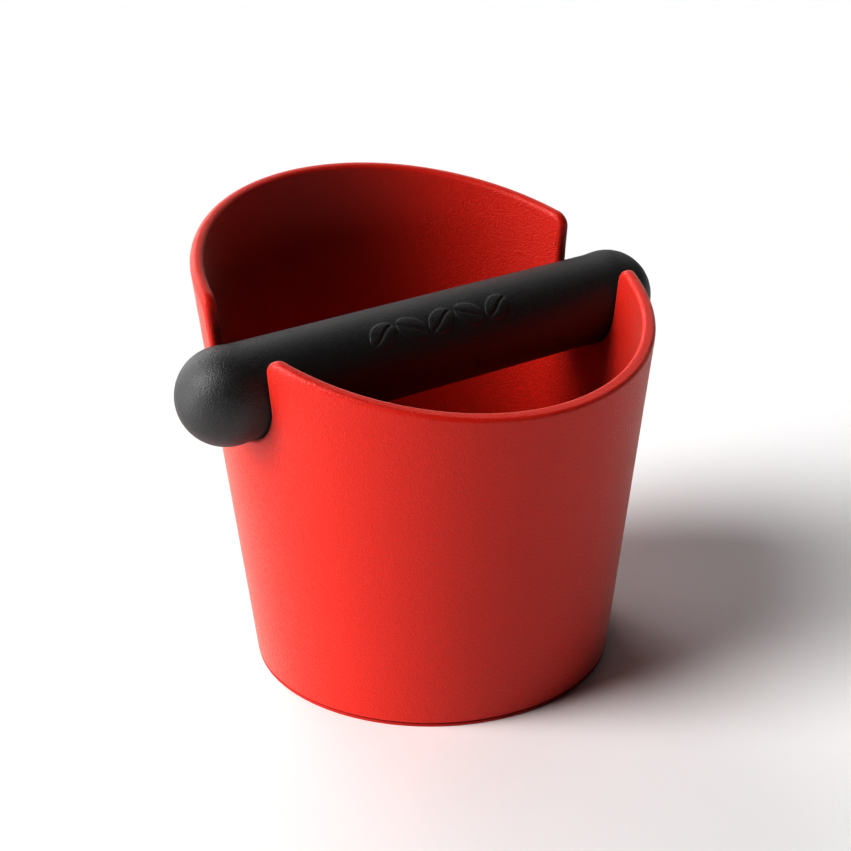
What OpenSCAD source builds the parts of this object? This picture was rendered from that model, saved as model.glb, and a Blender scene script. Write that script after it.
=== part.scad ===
// Knock box for an espresso machine: a tapered plastic tub with a slanted rim, a rubber foot ring
// pressed into its underside, and a knock bar that rests in two open notches and lifts out.
// +X runs along the bar, -Y is the low front of the rim, +Z is up, and z = 0 is the table.

/* [Tub] */
// Outer radius of the wall where its cone meets the table
base_r = 52.6; // [48:0.1:60]
// Thickness of the wall, square to its surface
wall = 4; // [2.5:0.1:4.5]
// Outward lean of the wall, in degrees
draft = 6.2; // [3:0.1:8]
// Thickness of the floor
floor_t = 4; // [3.5:0.1:6]
// Radius of the inside corner between the floor and the wall
floor_fillet_r = 6; // [2:0.5:12]
// Chamfer around the bottom edge of the wall
bottom_chamfer = 0.5; // [0.2:0.1:1]

/* [Rim] */
// Height of the sloping rim halfway from front to back
rim_mid_z = 112.3; // [108:0.1:120]
// Slope of the rim from the low front to the high back, in degrees
rim_tilt = 15.8; // [8:0.2:20]
// Corner radius where the rim meets the front side of each notch
front_corner_r = 3.5; // [1:0.5:5]
// Corner radius where the rim meets the back side of each notch
back_corner_r = 5; // [1:0.5:8]

/* [Bar] */
// Height of the bar's axis above the table
bar_z = 94.1; // [88:0.1:96]
// Overall length of the bar
bar_len = 159.5; // [156:0.5:170]
// Radius of the rubber cover between the notches
shaft_r = 13.15; // [11:0.05:13.4]
// Radius of the domed ends
dome_r = 13.5; // [13.4:0.1:13.6]
// Length over which each end swells from the shaft to the dome
flare_len = 4.5; // [2:0.5:5]
// Radius of the steel core
core_r = 8; // [5:0.5:9]
// Length of the steel core
core_len = 140; // [120:1:144]

/* [Foot ring] */
// Height of the band that shows under the tub
foot_h = 1.2; // [0.8:0.1:2.5]
// Step from the tub's bottom edge in to the band
foot_inset = 0.2; // [0.1:0.1:1.2]
// Height of the shadow gap between the band and the tub
seam_h = 0.4; // [0.2:0.1:0.6]
// Depth of the shadow gap
seam_w = 0.8; // [0.4:0.1:1.2]
// Width of the flat face that stands on the table
foot_w = 8; // [7:0.5:12]
// Width of the tongue that is pressed into the groove
tongue_w = 3; // [2:0.5:4]
// Height of the tongue
tongue_h = 2; // [1:0.1:2.2]

/* [Fits] */
// Gap between the bar and the bottom of its notches
rest_gap = 0.1; // [0.1:0.1:1]
// Gap between the bar and each side of its notches
side_gap = 0.4; // [0.4:0.1:1.5]
// Radial clearance between the core and its bore
core_gap = 0.05; // [0.02:0.01:0.1]
// Clearance at each end of the core and around the tongue
end_gap = 0.1; // [0.05:0.05:0.3]

/* [Hidden] */
$fn = 160;

// Wall: horizontal thickness, and a height that is clear of the highest point of the rim
wall_across = wall / cos(draft);
cone_top = rim_mid_z + 2 * base_r * tan(rim_tilt);
function outer_r(z) = base_r + z * tan(draft);
function inner_r(z) = outer_r(z) - wall_across;

// Floor and the centre of its inside corner
floor_z = foot_h + floor_t;
fillet_z = floor_z + floor_fillet_r;
fillet_x = inner_r(fillet_z) - floor_fillet_r / cos(draft);

// Notches
notch_r = shaft_r + side_gap;
notch_z = bar_z - shaft_r - rest_gap + notch_r;
cut_w = 4 * base_r;
lap = 1;

// Foot ring: its outer edge, and the middle of its tongue, a little inside the middle of the ring
foot_r = outer_r(foot_h) - foot_inset;
tongue_shift = 0.5;
tongue_mid_r = foot_r - foot_w / 2 - tongue_shift;

// Bar: centre of each dome, and half the length of the plain shaft
dome_x = bar_len / 2 - dome_r;
shaft_half = dome_x - flare_len;

function rim_height(y) = rim_mid_z + y * tan(rim_tilt);

// Half section of the outside of the tub
module outer_section() {
    polygon([
        [0, foot_h],
        [outer_r(foot_h) - bottom_chamfer, foot_h],
        [outer_r(foot_h + bottom_chamfer), foot_h + bottom_chamfer],
        [outer_r(cone_top), cone_top],
        [0, cone_top]
    ]);
}

// Half section of the hollow, with a round corner at the floor
module hollow_section() {
    polygon([
        [0, floor_z],
        [fillet_x, floor_z],
        [fillet_x + floor_fillet_r * cos(draft), fillet_z - floor_fillet_r * sin(draft)],
        [inner_r(cone_top + lap), cone_top + lap],
        [0, cone_top + lap]
    ]);
    translate([fillet_x, fillet_z]) circle(floor_fillet_r);
}

// Half section of the groove that takes the foot ring's tongue
module groove_section() {
    translate([tongue_mid_r - tongue_w / 2 - end_gap, foot_h - lap])
        square([tongue_w + 2 * end_gap, tongue_h + end_gap + lap]);
}

// Side view of what a round corner takes away, on the front (side = -1) or the back (side = 1);
// it laps over the mouth and the notch, so that all the cuts join without a seam
module corner_cut(side, r) {
    centre_y = side * (notch_r + r);
    centre_z = rim_height(centre_y) - r / cos(rim_tilt);
    notch_side = side * (notch_r - lap);
    difference() {
        polygon([
            [notch_side, rim_height(side * notch_r) + lap],
            [notch_side, centre_z],
            [centre_y, centre_z],
            [centre_y - (r + lap) * sin(rim_tilt), centre_z + (r + lap) * cos(rim_tilt)]
        ]);
        translate([centre_y, centre_z]) circle(r);
    }
}

// Side view of everything cut from the cone: the slanted mouth and the notches
module mouth_cut() {
    polygon([
        [-cut_w, rim_height(-cut_w)],
        [cut_w, rim_height(cut_w)],
        [cut_w, 2 * cone_top + rim_height(cut_w)],
        [-cut_w, 2 * cone_top + rim_height(cut_w)]
    ]);
    translate([0, notch_z]) circle(notch_r);
    translate([-notch_r, notch_z]) square([2 * notch_r, cone_top]);
    corner_cut(-1, front_corner_r);
    corner_cut(1, back_corner_r);
}

// Moulded tub: tapered wall, floor, slanted rim and the two open notches for the bar
module tub() {
    color([0.80, 0.10, 0.07])
        difference() {
            rotate_extrude()
                difference() {
                    outer_section();
                    hollow_section();
                    groove_section();
                }
            rotate([90, 0, 90])
                translate([0, 0, -cut_w / 2])
                    linear_extrude(cut_w)
                        mouth_cut();
        }
}

// Non-slip ring: a flat band with a tongue that is pressed into the tub's groove
module foot_ring() {
    color([0.72, 0.13, 0.09])
        rotate_extrude() {
            translate([foot_r - foot_w, 0])
                square([foot_w, foot_h - seam_h]);
            translate([foot_r - foot_w, 0])
                square([foot_w - seam_w, foot_h]);
            translate([tongue_mid_r - tongue_w / 2, 0])
                square([tongue_w, foot_h + tongue_h]);
        }
}

// Solid steel rod inside the rubber cover, which gives the bar its weight
module bar_core() {
    color("silver")
        translate([0, 0, bar_z])
            rotate([0, 90, 0])
                cylinder(h = core_len, r = core_r, center = true);
}

// Half of a dome's circle, on the positive side of the axis
module dome_section(x) {
    intersection() {
        translate([0, x]) circle(dome_r);
        translate([0, x - dome_r]) square([dome_r, 2 * dome_r]);
    }
}

// Rubber cover moulded over the core: plain shaft, slightly swollen neck and domed end on each side
module bar_cover() {
    bore_half = core_len / 2 + end_gap;
    color([0.09, 0.09, 0.10])
        translate([0, 0, bar_z])
            rotate([0, 90, 0])
                rotate_extrude()
                    difference() {
                        union() {
                            polygon([
                                [0, -dome_x],
                                [dome_r, -dome_x],
                                [shaft_r, -shaft_half],
                                [shaft_r, shaft_half],
                                [dome_r, dome_x],
                                [0, dome_x]
                            ]);
                            dome_section(-dome_x);
                            dome_section(dome_x);
                        }
                        translate([-lap, -bore_half])
                            square([core_r + core_gap + lap, 2 * bore_half]);
                    }
}

tub();
foot_ring();
bar_core();
bar_cover();
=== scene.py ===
"""Looks for the knock box: the moulded tub, its foot ring and the rubber-covered bar."""
import math

import bmesh
import bpy
import numpy as np
from mathutils import Matrix, Vector


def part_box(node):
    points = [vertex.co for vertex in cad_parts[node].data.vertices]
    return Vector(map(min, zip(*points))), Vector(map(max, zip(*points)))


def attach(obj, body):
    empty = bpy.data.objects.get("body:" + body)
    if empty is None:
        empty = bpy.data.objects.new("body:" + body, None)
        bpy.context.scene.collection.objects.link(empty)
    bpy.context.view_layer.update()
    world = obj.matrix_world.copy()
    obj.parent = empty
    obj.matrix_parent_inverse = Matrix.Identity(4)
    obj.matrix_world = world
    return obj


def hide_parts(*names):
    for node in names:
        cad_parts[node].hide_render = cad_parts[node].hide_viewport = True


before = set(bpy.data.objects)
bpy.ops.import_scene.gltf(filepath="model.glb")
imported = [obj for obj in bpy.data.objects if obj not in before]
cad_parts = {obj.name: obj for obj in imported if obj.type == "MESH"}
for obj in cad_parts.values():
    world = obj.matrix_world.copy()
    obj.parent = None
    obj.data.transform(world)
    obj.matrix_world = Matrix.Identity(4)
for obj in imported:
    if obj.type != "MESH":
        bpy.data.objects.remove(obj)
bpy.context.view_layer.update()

MM = 0.001

# Tub, in metres and radians: the design's sizes, with notches that hug the bar a little closer
BASE_R = 52.6 * MM
WALL = 4 * MM
DRAFT = math.radians(6.2)
RIM_MID_Z = 112.3 * MM
RIM_TILT = math.radians(15.8)
FRONT_CORNER_R = 3.5 * MM
BACK_CORNER_R = 5 * MM
FOOT_H = 1.2 * MM
FLOOR_Z = 5.2 * MM
FLOOR_FILLET_R = 6 * MM
NOTCH_SIDE_GAP = 0.3 * MM
NOTCH_REST_GAP = 0.03 * MM
RIM_ROUND = 1.8 * MM
NOTCH_ROUND = 1.2 * MM
BOTTOM_ROUND = 0.35 * MM

# Rim's mesh: points along its front and its back, and in turn along a notch's front corner, front
# side, bottom, back side and back corner
PLANE_STEPS = 170
FRONT_CORNER_STEPS = 13
FRONT_SIDE_STEPS = 10
BOTTOM_STEPS = 49
BACK_SIDE_STEPS = 18
BACK_CORNER_STEPS = 15
# Wall's mesh: how far a notch's columns spread at the foot, how many columns the spread is smoothed
# over, and the height of the lowest row over the rounded bottom edge
NOTCH_SPREAD = math.radians(22)
SMOOTHING = 21
WALL_START = 0.4 * MM
# Points along the rounded bottom edge and along the inside corner at the floor
BOTTOM_EDGE_STEPS = 7
FILLET_STEPS = 13

# Underside: radius and height of the gate mark's steps, radii of the rings across the flat floor, and
# the width of a narrow band beside the groove; then the rings across the floor inside
GATE_MARK = [(3.0 * MM, 1.7 * MM), (3.6 * MM, 1.65 * MM), (3.9 * MM, 1.3 * MM), (4.3 * MM, FOOT_H)]
FLOOR_RADII = [12 * MM, 24 * MM, 36 * MM]
GROOVE_LIP = 0.2 * MM
INNER_FLOOR_RADII = [36 * MM, 24 * MM, 12 * MM, 4 * MM]

# Bar: its axis and its domes come from the frame, and the plain shaft is a little thinner
core_low, core_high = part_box("bar_core")
cover_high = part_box("bar_cover")[1]
ring_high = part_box("foot_ring")[1]
BAR_Z = (core_low.z + core_high.z) / 2
BAR_HALF = cover_high.x
DOME_R = cover_high.y
SWELL = 0.35 * MM
SHAFT_R = DOME_R - SWELL
DOME_X = BAR_HALF - DOME_R
FLARE = 5 * MM
CORE_R = core_high.y
CORE_HALF = core_high.x
CORE_GAP = 0.05 * MM
END_GAP = 0.1 * MM

# Foot ring: a flat band with soft edges, a shadow gap over it, and a tongue in the tub's groove
RING_R = ring_high.x
RING_W = 8 * MM
RING_SOFT = 0.2 * MM
RING_SOFT_STEPS = 6
TONGUE_SHIFT = 0.5 * MM
TONGUE_MID = RING_R - RING_W / 2 - TONGUE_SHIFT
TONGUE_HALF = 1.5 * MM
TONGUE_TOP = ring_high.z
SEAM_H = 0.4 * MM
BAND_TOP = FOOT_H - SEAM_H
SEAM_DEPTH = 0.8 * MM

NOTCH_R = SHAFT_R + NOTCH_SIDE_GAP
NOTCH_Z = BAR_Z - SHAFT_R - NOTCH_REST_GAP + NOTCH_R


# ---------------------------------------------------------------- mesh helpers

def add_object(name, data):
    """A new object in the scene."""
    thing = bpy.data.objects.new(name, data)
    bpy.context.scene.collection.objects.link(thing)
    return thing


def full_turn(count):
    """Angles of this many points once round a circle."""
    return np.linspace(0, 2 * math.pi, count, endpoint=False)


def new_piece(name, points, faces, body, node, material):
    """A smooth-shaded mesh that stands for a CAD node and rides on its body."""
    mesh = bpy.data.meshes.new(name)
    mesh.from_pydata([tuple(p) for p in points], [], faces)
    mesh.validate()
    bm = bmesh.new()
    bm.from_mesh(mesh)
    bmesh.ops.recalc_face_normals(bm, faces=bm.faces)
    bm.to_mesh(mesh)
    bm.free()
    mesh.shade_smooth()
    piece = add_object(name, mesh)
    mesh.materials.append(material)
    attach(piece, body)
    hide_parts(node)
    return piece


class RingMesh:
    """Closed rings of equal length, joined into bands of quads; an end can close to one point."""

    def __init__(self, count):
        self.count = count
        self.points = []
        self.faces = []
        self.last = None

    def ring(self, points):
        """Adds a ring, joins it to the one before, and says where its points start."""
        start = len(self.points)
        self.points.extend(points)
        if self.last is not None:
            self.band(self.last, start)
        self.last = start
        return start

    def band(self, a, b):
        n = self.count
        for i in range(n):
            j = (i + 1) % n
            self.faces.append((a + i, a + j, b + j, b + i))

    def close(self, point):
        """Closes the last ring to one point."""
        tip = len(self.points)
        self.points.append(point)
        n = self.count
        for i in range(n):
            self.faces.append((self.last + i, self.last + (i + 1) % n, tip))
        self.last = None


def unit(v):
    """Rows of v at length 1."""
    return v / np.linalg.norm(v, axis=-1, keepdims=True)


# ---------------------------------------------------------------- tub

WALL_ACROSS = WALL / math.cos(DRAFT)


def cone_r(z, inside):
    """Radius of the wall's outer or inner cone at height z."""
    return BASE_R - (WALL_ACROSS if inside else 0) + z * math.tan(DRAFT)


def rim_height(y):
    """Height of the rim's sloping plane at this y."""
    return RIM_MID_Z + y * math.tan(RIM_TILT)


def arc(centre, radius, start, end, steps):
    """Points of an arc in the side view, from start to end, in degrees."""
    angles = np.radians(np.linspace(start, end, steps))
    return [(centre[0] + radius * math.cos(a), centre[1] + radius * math.sin(a)) for a in angles]


def notch_outline():
    """Side view (y, z) of one notch, from the front corner round its bottom to the back corner."""
    tilt = math.degrees(RIM_TILT)
    front_y = -(NOTCH_R + FRONT_CORNER_R)
    front_z = rim_height(front_y) - FRONT_CORNER_R / math.cos(RIM_TILT)
    back_y = NOTCH_R + BACK_CORNER_R
    back_z = rim_height(back_y) - BACK_CORNER_R / math.cos(RIM_TILT)
    outline = arc((front_y, front_z), FRONT_CORNER_R, 90 + tilt, 0, FRONT_CORNER_STEPS)
    outline += [(-NOTCH_R, z) for z in np.linspace(front_z, NOTCH_Z, FRONT_SIDE_STEPS)[1:]]
    outline += arc((0, NOTCH_Z), NOTCH_R, 180, 360, BOTTOM_STEPS)[1:]
    outline += [(NOTCH_R, z) for z in np.linspace(NOTCH_Z, back_z, BACK_SIDE_STEPS)[1:]]
    outline += arc((back_y, back_z), BACK_CORNER_R, 180, 90 + tilt, BACK_CORNER_STEPS)[1:]
    return outline


def on_cone(y, z, side, inside):
    """The point of a cone at this y and z, on the side of +X (side = 1) or -X (side = -1)."""
    return (side * math.sqrt(cone_r(z, inside) ** 2 - y * y), y, z)


def on_plane(angle, inside):
    """The point of a cone on the sloping rim's plane, at this angle round the tub's axis."""
    lean = math.tan(DRAFT)
    r = cone_r(RIM_MID_Z, inside) / (1 - lean * math.tan(RIM_TILT) * math.sin(angle))
    return (r * math.cos(angle), r * math.sin(angle), rim_height(r * math.sin(angle)))


def rim_loop(inside):
    """The sharp edge that the rim would have on one cone, once round, before it is rounded off."""
    notch = notch_outline()
    front = on_cone(*notch[0], 1, inside)
    back = on_cone(*notch[-1], 1, inside)
    front_angle = math.atan2(-front[1], front[0])
    back_angle = math.atan2(back[1], back[0])
    loop = []
    for a in np.linspace(-math.pi + front_angle, -front_angle, PLANE_STEPS)[:-1]:
        loop.append(on_plane(a, inside))
    loop += [on_cone(y, z, 1, inside) for y, z in notch]
    for a in np.linspace(back_angle, math.pi - back_angle, PLANE_STEPS)[1:-1]:
        loop.append(on_plane(a, inside))
    loop += [on_cone(y, z, -1, inside) for y, z in reversed(notch)][:-1]
    return np.array(loop)


def base_angles():
    """Angles round the foot that the rim's points run down to, so that the columns fan out evenly."""
    notch = np.array(notch_outline())
    steps = np.linalg.norm(np.diff(notch, axis=0), axis=1)
    along = np.concatenate([[0], np.cumsum(steps)]) / steps.sum()
    right = -NOTCH_SPREAD + 2 * NOTCH_SPREAD * along
    angles = np.concatenate([
        np.linspace(-math.pi + NOTCH_SPREAD, -NOTCH_SPREAD, PLANE_STEPS)[:-1],
        right,
        np.linspace(NOTCH_SPREAD, math.pi - NOTCH_SPREAD, PLANE_STEPS)[1:-1],
        math.pi - right[::-1][:-1]
    ])
    margin = SMOOTHING - 1
    before = angles[-margin:] - 2 * math.pi
    after = angles[:margin] + 2 * math.pi
    padded = np.concatenate([before, angles, after])
    smooth = np.convolve(padded, np.ones(SMOOTHING) / SMOOTHING, "same")
    return smooth[margin:-margin]


def tangents(loop):
    """Directions along a closed loop at its points."""
    return unit(np.roll(loop, -1, axis=0) - np.roll(loop, 1, axis=0))


def cone_normals(loop):
    """Outward normals of a cone at the loop's points."""
    across = loop[:, :2] / np.linalg.norm(loop[:, :2], axis=1, keepdims=True)
    rise = np.full((len(loop), 1), -math.tan(DRAFT))
    return unit(np.hstack([across, rise]))


def edge_round(loop):
    """Radius that the edge is rounded off with: full on the rim, and less at the bottom of a notch."""
    climb = np.clip((loop[:, 2:] - NOTCH_Z) / NOTCH_R, 0, 1)
    return NOTCH_ROUND + (RIM_ROUND - NOTCH_ROUND) * climb


def rounded_edge(loop, other, inside, steps=8):
    """Rings that round the rim's edge off, from the wall's surface up to the rim's flat face."""
    down = unit(np.cross(tangents(loop), cone_normals(loop)))
    across = unit(other - loop)
    half = np.arccos(np.clip((down * across).sum(1), -1, 1))[:, None] / 2
    radius = edge_round(loop)
    run = radius / np.tan(half)
    wall_point = loop + run * down
    r = cone_r(wall_point[:, 2], inside)
    wall_point[:, :2] *= (r / np.linalg.norm(wall_point[:, :2], axis=1))[:, None]
    face_point = loop + run * across
    centre = loop + (radius / np.sin(half)) * unit(down + across)
    a = unit(wall_point - centre)
    b = unit(face_point - centre)
    turn = np.arccos(np.clip((a * b).sum(1), -1, 1))[:, None]
    rings = []
    for t in np.linspace(0, 1, steps + 1):
        mix = (np.sin((1 - t) * turn) * a + np.sin(t * turn) * b) / np.sin(turn)
        rings.append(centre + radius * mix)
    rings[0] = wall_point
    return rings


def wall_rings(top, foot_z, inside, rows=30, crowding=1.5):
    """Rings down a wall from its top ring to a level ring at foot_z, all exactly on the cone.

    The rows are closest together near the top when crowding is above 1.
    """
    top_angle = np.unwrap(np.arctan2(top[:, 1], top[:, 0]))
    foot_angle = base_angles()
    foot_angle = foot_angle + 2 * math.pi * round((top_angle[0] - foot_angle[0]) / (2 * math.pi))
    rings = []
    for i in range(1, rows + 1):
        v = (i / rows) ** crowding
        angle = top_angle + v * (foot_angle - top_angle)
        z = top[:, 2] + v * (foot_z - top[:, 2])
        r = cone_r(z, inside)
        rings.append(np.stack([r * np.cos(angle), r * np.sin(angle), z], axis=1))
    return rings


def level_ring(r, z):
    """A level ring of the tub's mesh, with this radius and height."""
    angle = base_angles()
    return np.stack([r * np.cos(angle), r * np.sin(angle), np.full(len(angle), z)], axis=1)


def make_tub(material):
    """Tub as one closed surface, from the middle of the underside to the middle of the floor inside."""
    outer = rim_loop(False)
    inner = rim_loop(True)
    outer_edge = rounded_edge(outer, inner, False)
    inner_edge = rounded_edge(inner, outer, True)
    mesh = RingMesh(len(outer))

    # Underside, from the middle out: a gate mark, the flat floor and the groove for the foot ring
    profile = GATE_MARK + [(r, FOOT_H) for r in FLOOR_RADII]
    groove_in = TONGUE_MID - TONGUE_HALF - END_GAP
    groove_out = TONGUE_MID + TONGUE_HALF + END_GAP
    groove_top = TONGUE_TOP + END_GAP
    profile += [(groove_in - GROOVE_LIP, FOOT_H), (groove_in, FOOT_H), (groove_in, groove_top)]
    profile += [(groove_out, groove_top), (groove_out, FOOT_H), (groove_out + GROOVE_LIP, FOOT_H)]
    corner_r = cone_r(FOOT_H + BOTTOM_ROUND, False) - BOTTOM_ROUND
    for a in np.radians(np.linspace(-90, 0, BOTTOM_EDGE_STEPS)):
        corner_z = FOOT_H + BOTTOM_ROUND * (1 + math.sin(a))
        profile.append((corner_r + BOTTOM_ROUND * math.cos(a), corner_z))
    start = None
    for r, z in profile:
        ring = mesh.ring(level_ring(r, z))
        start = ring if start is None else start

    # Outer wall up to the rim, over it, and down the inner wall
    foot_z = FOOT_H + BOTTOM_ROUND + WALL_START
    for ring in reversed(wall_rings(outer_edge[0], foot_z, False)):
        mesh.ring(ring)
    for ring in outer_edge:
        mesh.ring(ring)
    for t in (0.33, 0.67):
        mesh.ring(outer_edge[-1] * (1 - t) + inner_edge[-1] * t)
    for ring in reversed(inner_edge):
        mesh.ring(ring)
    fillet_z = FLOOR_Z + FLOOR_FILLET_R
    fillet_x = cone_r(fillet_z, True) - FLOOR_FILLET_R / math.cos(DRAFT)
    for ring in wall_rings(inner_edge[0], fillet_z - FLOOR_FILLET_R * math.sin(DRAFT), True):
        mesh.ring(ring)
    for a in np.linspace(-DRAFT, -math.pi / 2, FILLET_STEPS)[1:]:
        r = fillet_x + FLOOR_FILLET_R * math.cos(a)
        mesh.ring(level_ring(r, fillet_z + FLOOR_FILLET_R * math.sin(a)))
    for r in INNER_FLOOR_RADII:
        mesh.ring(level_ring(r, FLOOR_Z))
    mesh.close((0, 0, FLOOR_Z))
    mesh.last = start
    mesh.close((0, 0, GATE_MARK[0][1]))
    new_piece("tub_shell", mesh.points, mesh.faces, "box", "tub", material)


# ---------------------------------------------------------------- foot ring

def make_foot_ring(material, segments=256):
    """Flat ring with soft edges, a shadow gap under the tub, and a tongue for the tub's groove."""
    outer = RING_R
    inner = RING_R - RING_W
    soft = RING_SOFT
    section = arc((outer - soft, soft), soft, -90, 0, RING_SOFT_STEPS)
    section += arc((outer - soft, BAND_TOP - soft), soft, 0, 90, RING_SOFT_STEPS)
    section += [(outer - SEAM_DEPTH, BAND_TOP), (outer - SEAM_DEPTH, FOOT_H)]
    section += [(TONGUE_MID + TONGUE_HALF, FOOT_H), (TONGUE_MID + TONGUE_HALF, TONGUE_TOP)]
    section += [(TONGUE_MID - TONGUE_HALF, TONGUE_TOP), (TONGUE_MID - TONGUE_HALF, FOOT_H)]
    section += arc((inner + soft, FOOT_H - soft), soft, 90, 180, RING_SOFT_STEPS)
    section += arc((inner + soft, soft), soft, 180, 270, RING_SOFT_STEPS)
    mesh = RingMesh(segments)
    angle = full_turn(segments)
    first = None
    for r, z in section:
        level = np.full(segments, z)
        ring = mesh.ring(np.stack([r * np.cos(angle), r * np.sin(angle), level], axis=1))
        first = ring if first is None else first
    mesh.band(mesh.last, first)
    new_piece("foot_ring_rubber", mesh.points, mesh.faces, "box", "foot_ring", material)


# ---------------------------------------------------------------- bar

# Row of coffee beans in low relief: how many, how far apart, and each bean's half sizes, lean and height
BEAN_COUNT = 5
BEAN_PITCH = 9.8 * MM
BEAN_LONG = 4.9 * MM
BEAN_SHORT = 3.5 * MM
BEAN_TILT = math.radians(32)
BEAN_HEIGHT = 0.5 * MM
# Exponent of a bean's shape: the lower it is, the flatter the top and the steeper the edge
BEAN_FULLNESS = 0.4
# Crease along a bean: its depth, its width and wave as shares of the bean's short half, and how fast
# it fades at the bean's edge
BEAN_CREASE = 0.42 * MM
CREASE_WIDTH = 0.12
CREASE_WAVE = 0.07
CREASE_FADE = 3
# Where the row is: its middle along the bar, its angle from the top to the front, the half width of the
# finer mesh under it, and the margin at each end
BEAN_ROW_X = -2.5 * MM
BEAN_ROW_ANGLE = math.radians(44)
BEAN_ROW_HALF_WIDTH = 6.0 * MM
BEAN_ROW_MARGIN = 0.5 * MM

# Bar's mesh: points along the shaft on each side of the row, along the row, along a dome, round the bar
# at the row and round the rest of it, and round the bore
SHAFT_STEPS = 60
ROW_STEPS = 240
DOME_STEPS = 33
FINE_STEPS = 56
COARSE_STEPS = 110
BORE_STEPS = 96


def cover_radius(x):
    """Radius of the bar's cover at x: plain shaft, a soft swell at each end, and round domes."""
    x = abs(x)
    if x > DOME_X:
        return math.sqrt(max(0.0, DOME_R ** 2 - (x - DOME_X) ** 2))
    t = min(1.0, max(0.0, (x - (DOME_X - FLARE)) / FLARE))
    return SHAFT_R + (DOME_R - SHAFT_R) * t * t * (3 - 2 * t)


def bean_relief(x, across):
    """Height of the low row of coffee beans above the shaft, at x along it and this far round it."""
    height = 0.0
    for i in range(BEAN_COUNT):
        centre = BEAN_ROW_X + (i - (BEAN_COUNT - 1) / 2) * BEAN_PITCH
        tilt = BEAN_TILT if i % 2 == 0 else -BEAN_TILT
        dx, dy = x - centre, across
        u = (dx * math.cos(tilt) + dy * math.sin(tilt)) / BEAN_LONG
        v = (-dx * math.sin(tilt) + dy * math.cos(tilt)) / BEAN_SHORT
        inside = 1 - u * u - v * v
        if inside > 0:
            off_crease = (v - CREASE_WAVE * math.sin(math.pi * u)) / CREASE_WIDTH
            crease = BEAN_CREASE * math.exp(-off_crease * off_crease)
            height = BEAN_HEIGHT * inside ** BEAN_FULLNESS - crease * min(1, CREASE_FADE * inside)
    return height


def cover_mesh():
    """Outside of the bar's cover: round along X, with the relief on its upper front."""
    row_half = BEAN_COUNT * BEAN_PITCH / 2 + BEAN_ROW_MARGIN
    row_left = BEAN_ROW_X - row_half
    row_right = BEAN_ROW_X + row_half
    shaft_x = np.concatenate([
        np.linspace(-DOME_X, row_left, SHAFT_STEPS)[:-1],
        np.linspace(row_left, row_right, ROW_STEPS),
        np.linspace(row_right, DOME_X, SHAFT_STEPS)[1:]
    ])
    dome = np.radians(np.linspace(0, 90, DOME_STEPS))[1:-1]
    right_x = DOME_X + DOME_R * np.sin(dome)
    stations = np.concatenate([-right_x[::-1], shaft_x, right_x])
    sector = BEAN_ROW_HALF_WIDTH / SHAFT_R
    fine = np.linspace(-sector, sector, FINE_STEPS)
    coarse = np.linspace(sector, 2 * math.pi - sector, COARSE_STEPS)[1:-1]
    around = np.concatenate([fine, coarse])
    mesh = RingMesh(len(around))
    first = None
    for x in stations:
        base = cover_radius(x)
        points = []
        for a in around:
            on_row = row_left < x < row_right and abs(a) <= sector
            r = base + (bean_relief(x, a * SHAFT_R) if on_row else 0)
            turn = BEAN_ROW_ANGLE - a
            points.append((x, -r * math.sin(turn), BAR_Z + r * math.cos(turn)))
        ring = mesh.ring(points)
        first = ring if first is None else first
    mesh.close((BAR_HALF, 0, BAR_Z))
    mesh.last = first
    mesh.close((-BAR_HALF, 0, BAR_Z))
    return mesh


def bore_mesh():
    """Closed bore in the cover, with a little room around the core."""
    mesh = RingMesh(BORE_STEPS)
    angle = full_turn(BORE_STEPS)
    half = CORE_HALF + END_GAP
    radius = CORE_R + CORE_GAP
    first = mesh.ring([(-half, radius * math.cos(a), BAR_Z + radius * math.sin(a)) for a in angle])
    mesh.ring([(half, radius * math.cos(a), BAR_Z + radius * math.sin(a)) for a in angle])
    mesh.close((half, 0, BAR_Z))
    mesh.last = first
    mesh.close((-half, 0, BAR_Z))
    return mesh


def make_bar_cover(material):
    """Cover of the bar as one piece: its outside and its bore."""
    cover = cover_mesh()
    bore = bore_mesh()
    shift = len(cover.points)
    points = cover.points + bore.points
    faces = cover.faces + [tuple(i + shift for i in face) for face in bore.faces]
    piece = new_piece("bar_cover_rubber", points, faces, "bar_skin", "bar_cover", material)
    flip_bore(piece, len(cover.faces))


def flip_bore(piece, cover_faces):
    """The bore is the inside of the rubber, so its faces look at the core."""
    bm = bmesh.new()
    bm.from_mesh(piece.data)
    bm.faces.ensure_lookup_table()
    for face in bm.faces[cover_faces:]:
        middle = face.calc_center_median() - Vector((0, 0, BAR_Z))
        if face.normal.dot(middle) > 0:
            face.normal_flip()
    bm.to_mesh(piece.data)
    bm.free()


# ---------------------------------------------------------------- materials

# Most of a noise's values lie between these two
NOISE_LOW = 0.35
NOISE_HIGH = 0.65


def new_material(name):
    """A material, its node tree and its shader."""
    material = bpy.data.materials.new(name)
    material.use_nodes = True
    tree = material.node_tree
    return material, tree, tree.nodes["Principled BSDF"]


def object_place(tree):
    """The object's own coordinates, in metres."""
    return tree.nodes.new("ShaderNodeTexCoord").outputs["Object"]


def noise(tree, place, feature, detail=2.0, roughness=0.5):
    """Noise whose features are about this many metres across."""
    texture = tree.nodes.new("ShaderNodeTexNoise")
    texture.inputs["Scale"].default_value = 1 / feature
    texture.inputs["Detail"].default_value = detail
    texture.inputs["Roughness"].default_value = roughness
    tree.links.new(place, texture.inputs["Vector"])
    return texture.outputs["Fac"]


def colour_from(tree, shader, source, stops):
    """Base colour that blends between two stops, each a position and a colour."""
    blend = tree.nodes.new("ShaderNodeValToRGB")
    for element, (position, colour) in zip(blend.color_ramp.elements, stops):
        element.position = position
        element.color = (*colour, 1)
    tree.links.new(source, blend.inputs["Fac"])
    tree.links.new(blend.outputs["Color"], shader.inputs["Base Color"])


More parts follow.
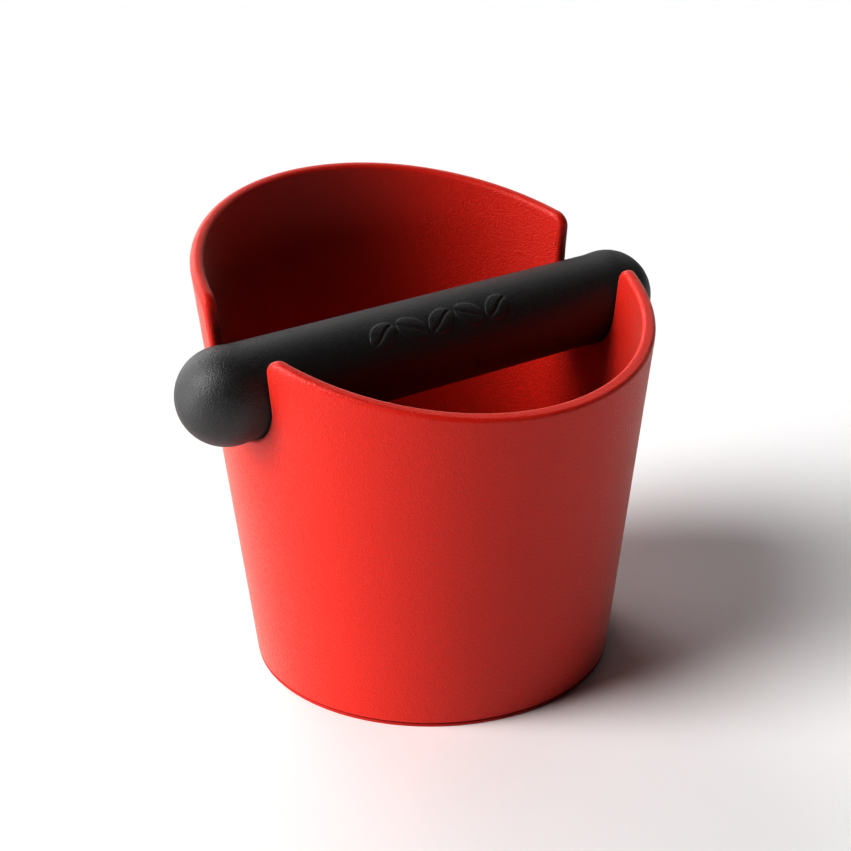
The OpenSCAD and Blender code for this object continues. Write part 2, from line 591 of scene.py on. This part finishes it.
def roughness_from(tree, shader, source, low, high):
    """Roughness that runs from low to high with the noise."""
    span = tree.nodes.new("ShaderNodeMapRange")
    span.inputs["From Min"].default_value = NOISE_LOW
    span.inputs["From Max"].default_value = NOISE_HIGH
    span.inputs["To Min"].default_value = low
    span.inputs["To Max"].default_value = high
    tree.links.new(source, span.inputs["Value"])
    tree.links.new(span.outputs["Result"], shader.inputs["Roughness"])


def bump_from(tree, shader, source, strength, distance):
    """Fine relief of this depth in metres, in the shading only."""
    relief = tree.nodes.new("ShaderNodeBump")
    relief.inputs["Strength"].default_value = strength
    relief.inputs["Distance"].default_value = distance
    tree.links.new(source, relief.inputs["Height"])
    tree.links.new(relief.outputs["Normal"], shader.inputs["Normal"])


def red_plastic():
    """Satin moulded plastic with a fine spark-eroded grain."""
    material, tree, shader = new_material("red_plastic")
    grain = noise(tree, object_place(tree), 0.50 * MM)
    colour_from(tree, shader, grain, [
        (0.30, (0.660, 0.0170, 0.0030)),
        (0.72, (0.750, 0.0230, 0.0045))
    ])
    roughness_from(tree, shader, grain, 0.30, 0.56)
    shader.inputs["Specular IOR Level"].default_value = 0.55
    shader.inputs["Sheen Weight"].default_value = 0.50
    shader.inputs["Sheen Roughness"].default_value = 0.36
    shader.inputs["Sheen Tint"].default_value = (1.0, 0.90, 0.80, 1)
    bump_from(tree, shader, grain, 1.0, 0.20 * MM)
    return material


def foot_rubber():
    """Soft matte rubber in nearly the tub's red, with a fine grain."""
    material, tree, shader = new_material("foot_rubber")
    grain = noise(tree, object_place(tree), 0.6 * MM, detail=3)
    colour_from(tree, shader, grain, [
        (0.30, (0.460, 0.0160, 0.0090)),
        (0.70, (0.600, 0.0260, 0.0140))
    ])
    roughness_from(tree, shader, grain, 0.62, 0.74)
    bump_from(tree, shader, grain, 0.4, 0.05 * MM)
    return material


def black_rubber():
    """Matte black rubber with a fine moulded grain that catches the light in specks."""
    material, tree, shader = new_material("black_rubber")
    grain = noise(tree, object_place(tree), 0.50 * MM, roughness=0.6)
    colour_from(tree, shader, grain, [
        (0.35, (0.014, 0.014, 0.014)),
        (0.70, (0.042, 0.041, 0.040))
    ])
    shader.inputs["Specular IOR Level"].default_value = 0.85
    roughness_from(tree, shader, grain, 0.40, 0.54)
    bump_from(tree, shader, grain, 1.0, 0.20 * MM)
    return material


def turned_steel():
    """Drawn steel rod with fine lines round it."""
    material, tree, shader = new_material("turned_steel")
    shader.inputs["Metallic"].default_value = 1.0
    stretch = tree.nodes.new("ShaderNodeMapping")
    stretch.inputs["Scale"].default_value = (1.0, 0.02, 0.02)
    tree.links.new(object_place(tree), stretch.inputs["Vector"])
    lines = noise(tree, stretch.outputs["Vector"], 0.3 * MM, detail=4)
    colour_from(tree, shader, lines, [
        (0.30, (0.42, 0.42, 0.44)),
        (0.70, (0.60, 0.60, 0.62))
    ])
    roughness_from(tree, shader, lines, 0.28, 0.42)
    bump_from(tree, shader, lines, 0.3, 0.02 * MM)
    return material


def floor_material():
    """Plain pale floor without a shine."""
    material, _, shader = new_material("white_floor")
    shader.inputs["Base Color"].default_value = (0.88, 0.88, 0.88, 1)
    shader.inputs["Roughness"].default_value = 0.9
    shader.inputs["Specular IOR Level"].default_value = 0.2
    return material


def backdrop_material():
    """Even, pale glow that doesn't depend on the lights."""
    material, _, shader = new_material("white_backdrop")
    shader.inputs["Base Color"].default_value = (0, 0, 0, 1)
    shader.inputs["Specular IOR Level"].default_value = 0
    shader.inputs["Emission Color"].default_value = (1, 1, 1, 1)
    shader.inputs["Emission Strength"].default_value = 0.95
    return material


# ---------------------------------------------------------------- stage

CAMERA_AZIMUTH = math.radians(-36.03)
CAMERA_ELEVATION = math.radians(23.84)
CAMERA_DISTANCE = 0.5145
CAMERA_TARGET = Vector((0, 0, 0.063))
CAMERA_ROLL = math.radians(-0.575)
# Film width and focal length in millimetres, the small shift of the picture, and the nearest and
# farthest that the camera sees, in metres
CAMERA_FILM = 36
CAMERA_LENS = 75.13
CAMERA_SHIFT = (-0.0056, 0.0195)
CAMERA_RANGE = (0.01, 20)


def make_camera():
    data = bpy.data.cameras.new("camera")
    data.sensor_width = CAMERA_FILM
    data.lens = CAMERA_LENS
    data.shift_x, data.shift_y = CAMERA_SHIFT
    data.clip_start, data.clip_end = CAMERA_RANGE
    camera = add_object("camera", data)
    back = toward(CAMERA_AZIMUTH, CAMERA_ELEVATION)
    camera.location = CAMERA_TARGET + back * CAMERA_DISTANCE
    turn = (-back).to_track_quat("-Z", "Y").to_matrix().to_4x4()
    camera.rotation_euler = (turn @ Matrix.Rotation(CAMERA_ROLL, 4, "Z")).to_euler()
    bpy.context.scene.camera = camera


# Soft lights, each like a large softbox far away: azimuth and elevation as for the camera, the angle
# that the light fills (all in degrees), and its strength
LIGHTS = {
    "key": (-109, 28, 34, 2.15),
    "high": (-105, 50, 32, 2.1),
    "left_edge": (-168, 12, 40, 1.15),
    "back": (-191, 30, 32, 1.0),
    "back_fill": (-236, 30, 40, 0.35)
}
# A low card of light close on the left, brightest near the foot
CARD = {"azimuth": -112, "distance": 0.42, "height": 0.05, "size": (0.30, 0.12), "power": 0.5}
# Faint even light from all round, and the exponent of the picture's contrast
ROOM_LIGHT = 0.02
CONTRAST = 1.35
# Half the floor's width, and the backdrop's radius, height and number of sides
FLOOR_HALF = 6.0
BACKDROP_R = 5.9
BACKDROP_H = 6
BACKDROP_SIDES = 96


def toward(azimuth, elevation):
    """Unit vector from the object towards this azimuth and elevation, measured as for the camera."""
    level = math.cos(elevation)
    return Vector((math.sin(azimuth) * level, -math.cos(azimuth) * level, math.sin(elevation)))


def make_lights():
    for name, (azimuth, elevation, angle, strength) in LIGHTS.items():
        data = bpy.data.lights.new(name, "SUN")
        data.energy = strength
        data.angle = math.radians(angle)
        lamp = add_object(name, data)
        direction = toward(math.radians(azimuth), math.radians(elevation))
        lamp.rotation_euler = (-direction).to_track_quat("-Z", "Y").to_euler()
    card = bpy.data.lights.new("card", "AREA")
    card.shape = "RECTANGLE"
    card.size, card.size_y = CARD["size"]
    card.energy = CARD["power"]
    panel = add_object("card", card)
    direction = toward(math.radians(CARD["azimuth"]), 0)
    panel.location = direction * CARD["distance"] + Vector((0, 0, CARD["height"]))
    panel.rotation_euler = (-direction).to_track_quat("-Z", "Y").to_euler()
    panel.visible_camera = False
    world = bpy.data.worlds.new("studio")
    world.use_nodes = True
    background = world.node_tree.nodes["Background"]
    background.inputs["Color"].default_value = (1, 1, 1, 1)
    background.inputs["Strength"].default_value = ROOM_LIGHT
    bpy.context.scene.world = world


def set_tones():
    """A plain view of the light, with somewhat more contrast, as in a studio picture."""
    settings = bpy.context.scene.view_settings
    settings.view_transform = "Standard"
    settings.gamma = 1 / CONTRAST


def stage_piece(name, points, faces, material):
    """A mesh that belongs to the studio, not to the object."""
    mesh = bpy.data.meshes.new(name)
    mesh.from_pydata(points, [], faces)
    mesh.materials.append(material)
    piece = add_object(name, mesh)
    return piece


def make_floor():
    half = FLOOR_HALF
    corners = [(-half, -half, 0), (half, -half, 0), (half, half, 0), (-half, half, 0)]
    stage_piece("floor", corners, [(0, 1, 2, 3)], floor_material())


def make_backdrop():
    """A pale wall all round, far off, seen in low views only; it neither lights nor shades anything."""
    wall = RingMesh(BACKDROP_SIDES)
    angle = full_turn(BACKDROP_SIDES)
    for z in (0, BACKDROP_H):
        wall.ring([(BACKDROP_R * math.cos(a), BACKDROP_R * math.sin(a), z) for a in angle])
    backdrop = stage_piece("backdrop", wall.points, wall.faces, backdrop_material())
    backdrop.visible_diffuse = False
    backdrop.visible_glossy = False
    backdrop.visible_shadow = False


make_camera()
make_lights()
make_floor()
make_backdrop()
set_tones()
make_tub(red_plastic())
make_foot_ring(foot_rubber())
make_bar_cover(black_rubber())
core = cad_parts["bar_core"]
core.data.materials.clear()
core.data.materials.append(turned_steel())
